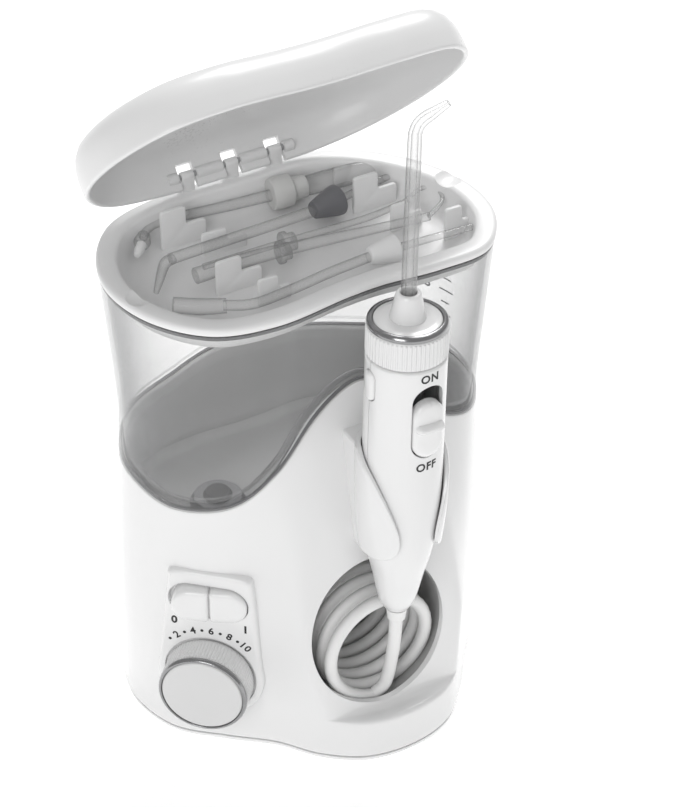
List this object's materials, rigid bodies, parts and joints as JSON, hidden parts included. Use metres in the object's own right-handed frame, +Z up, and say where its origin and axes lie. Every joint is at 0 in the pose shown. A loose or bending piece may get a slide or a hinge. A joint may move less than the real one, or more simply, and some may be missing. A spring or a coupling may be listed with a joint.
{
  "type": "countertop water flosser",
  "caption": "Countertop water flosser with a lift-off clear tank, hinged lid, tip tray, coiled hose and a handle standing on its front bracket.",
  "frame": {"origin": "bottom centre of the bounding box of everything but the hose, on the table under the feet", "axes": "+Z up, the front with the handle towards -Y, the lid hinge along X at the back"},
  "size_m": [0.1476, 0.1288, 0.2739],
  "materials": {
    "white_gloss": "glossy white ABS",
    "white_satin": "satin white plastic",
    "clear": "clear plastic, slightly grey",
    "hose": "satin white flexible tubing",
    "chrome_ring": "grey metallic plating",
    "steel": "plain steel",
    "brass_gear": "cut brass",
    "rubber_dark": "dark rubber",
    "grey_plastic": "moulded grey plastic"
  },
  "bodies": {
    "base": {"base_housing": "white_gloss", "base_plate": "white_gloss", "rubber_foot_1": "rubber_dark", "rubber_foot_2": "rubber_dark", "rubber_foot_3": "rubber_dark", "rubber_foot_4": "rubber_dark", "base_screw_1": "steel", "base_screw_2": "steel", "base_screw_3": "steel", "base_screw_4": "steel", "hose_bay": "white_satin", "hose_grommet": "hose", "hose_coil": "hose", "hose_tail": "hose", "hose_drop": "hose", "handle_bracket": "white_gloss", "control_panel": "white_gloss", "switch_module": "grey_plastic", "regulator_body": "grey_plastic", "mains_inlet": "grey_plastic", "pump_motor": "steel", "pump_body": "grey_plastic", "valve_cover": "steel", "pump_frame": "steel", "tank_seal": "rubber_dark", "inlet_line": "rubber_dark"},
    "motor_rotor": {"motor_pinion": "brass_gear"},
    "crank": {"crank_gear": "white_satin"},
    "piston": {"pump_piston": "white_satin"},
    "inlet_poppet": {"inlet_valve": "rubber_dark"},
    "outlet_poppet": {"outlet_valve": "rubber_dark"},
    "dial": {"dial_knob": "white_gloss", "dial_ring": "chrome_ring", "dial_cap": "white_satin", "regulator_stem": "steel"},
    "rocker": {"power_rocker": "white_gloss"},
    "tank": {"reservoir": "clear", "tank_valve_seat": "rubber_dark"},
    "tank_valve": {"tank_valve_poppet": "rubber_dark"},
    "tray": {"tip_tray": "white_gloss", "hinge_pin": "steel", "brush_tip_shaft": "clear", "pick_tip_shaft": "clear", "scraper_tip": "clear", "spare_jet_shaft": "clear"},
    "lid": {"lid": "white_gloss"},
    "handle": {"handle_front_shell": "white_gloss", "handle_back_shell": "white_gloss", "hose_nipple": "hose", "water_valve": "grey_plastic"},
    "slider": {"pause_slider": "white_gloss"},
    "eject": {"eject_button": "white_gloss"},
    "collar": {"spin_collar": "white_gloss", "collar_ring": "chrome_ring", "tip_socket": "white_gloss"},
    "tip": {"jet_tip": "clear"}
  },
  "joints": [
    {"name": "reservoir_lift", "type": "slide", "parent": "base", "child": "tank", "axis": [0, 0, 1], "range_m": [0, 0.06]},
    {"name": "tank_valve_lift", "type": "slide", "parent": "tank", "child": "tank_valve", "axis": [0, 0, 1], "range_m": [0, 0.0015], "stiffness_N_per_m": 60},
    {"name": "tray_lift", "type": "slide", "parent": "tank", "child": "tray", "axis": [0, 0, 1], "range_m": [0, 0.03]},
    {"name": "lid_hinge", "type": "hinge", "parent": "tray", "child": "lid", "pos_m": [0.0011, 0.05652, 0.2015], "axis": [-1, 0, 0], "range_deg": [-50, 35]},
    {"name": "handle_lift", "type": "slide", "parent": "base", "child": "handle", "axis": [0.0445, 0.0352, 0.9984], "range_m": [0, 0.03], "deforming": ["hose_drop"]},
    {"name": "collar_spin", "type": "hinge", "parent": "handle", "child": "collar", "pos_m": [0.0093, -0.04978, 0.064], "axis": [0.0445, 0.0352, 0.9984], "continuous": true},
    {"name": "tip_pull", "type": "slide", "parent": "collar", "child": "tip", "axis": [0.0445, 0.0352, 0.9984], "range_m": [0, 0.015]},
    {"name": "pause_slide", "type": "slide", "parent": "handle", "child": "slider", "axis": [0.0445, 0.0352, 0.9984], "range_m": [0, 0.0055]},
    {"name": "eject_press", "type": "slide", "parent": "handle", "child": "eject", "axis": [0.999, -0.0008, -0.0445], "range_m": [0, 0.0012], "stiffness_N_per_m": 150},
    {"name": "rocker_tilt", "type": "hinge", "parent": "base", "child": "rocker", "pos_m": [-0.05039, -0.01741, 0.071], "axis": [0, 0, -1], "range_deg": [0, 14]},
    {"name": "dial_turn", "type": "hinge", "parent": "base", "child": "dial", "pos_m": [-0.0538, -0.02106, 0.036], "axis": [0.682, 0.7314, 0], "range_deg": [0, 110]},
    {"name": "crank_spin", "type": "hinge", "parent": "base", "child": "crank", "pos_m": [0.0011, 0.03102, 0.05455], "axis": [1, 0, 0], "continuous": true},
    {"name": "motor_spin", "type": "hinge", "parent": "base", "child": "motor_rotor", "pos_m": [0.0011, 0.03102, 0.031], "axis": [1, 0, 0], "continuous": true},
    {"name": "piston_slide", "type": "slide", "parent": "base", "child": "piston", "axis": [0, 0, 1], "range_m": [-0.003, 0.003]},
    {"name": "inlet_valve_lift", "type": "slide", "parent": "base", "child": "inlet_poppet", "axis": [0, 0, 1], "range_m": [0, 0.0015]},
    {"name": "outlet_valve_lift", "type": "slide", "parent": "base", "child": "outlet_poppet", "axis": [0, 0, 1], "range_m": [0, 0.0015]}
  ],
  "couplings": [
    {"joint": "motor_spin", "follows": "crank_spin", "ratio": -3.3333}
  ]
}
